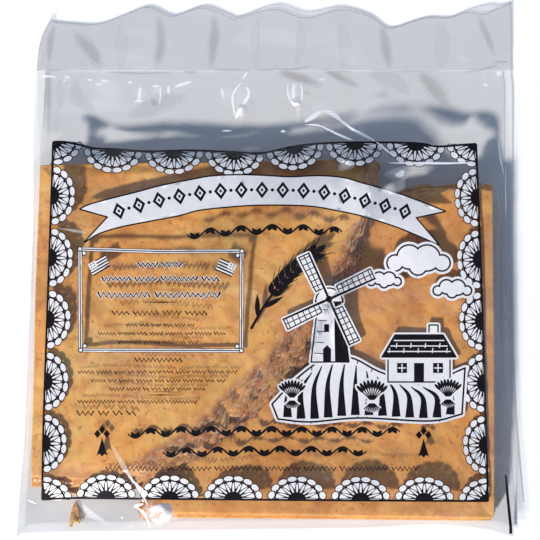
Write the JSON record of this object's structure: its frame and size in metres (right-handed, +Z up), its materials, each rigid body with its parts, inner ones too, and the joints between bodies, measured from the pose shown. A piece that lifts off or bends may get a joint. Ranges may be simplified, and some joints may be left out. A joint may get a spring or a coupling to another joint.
{
  "type": "bag of folded crepes",
  "caption": "Flat sealed clear film bag holding two overlapping piles of thin folded crepes, with lace-patterned print and a fluted open lip above its weld.",
  "frame": {"origin": "centre of the bag's box in plan, on the surface it lies on", "axes": "+X to the right of the printed side, +Y to the open lip, +Z up out of the printed side"},
  "size_m": [0.2217, 0.2455, 0.0306],
  "materials": {
    "filled_bag": "golden crepes seen through glossy film",
    "clear_film": "thin clear glossy film",
    "white_ink": "white print on film",
    "black_ink": "black print on film",
    "crepe": "thin golden batter, lightly mottled and matt"
  },
  "bodies": {
    "root": {"bag": "filled_bag"}
  },
  "joints": []
}
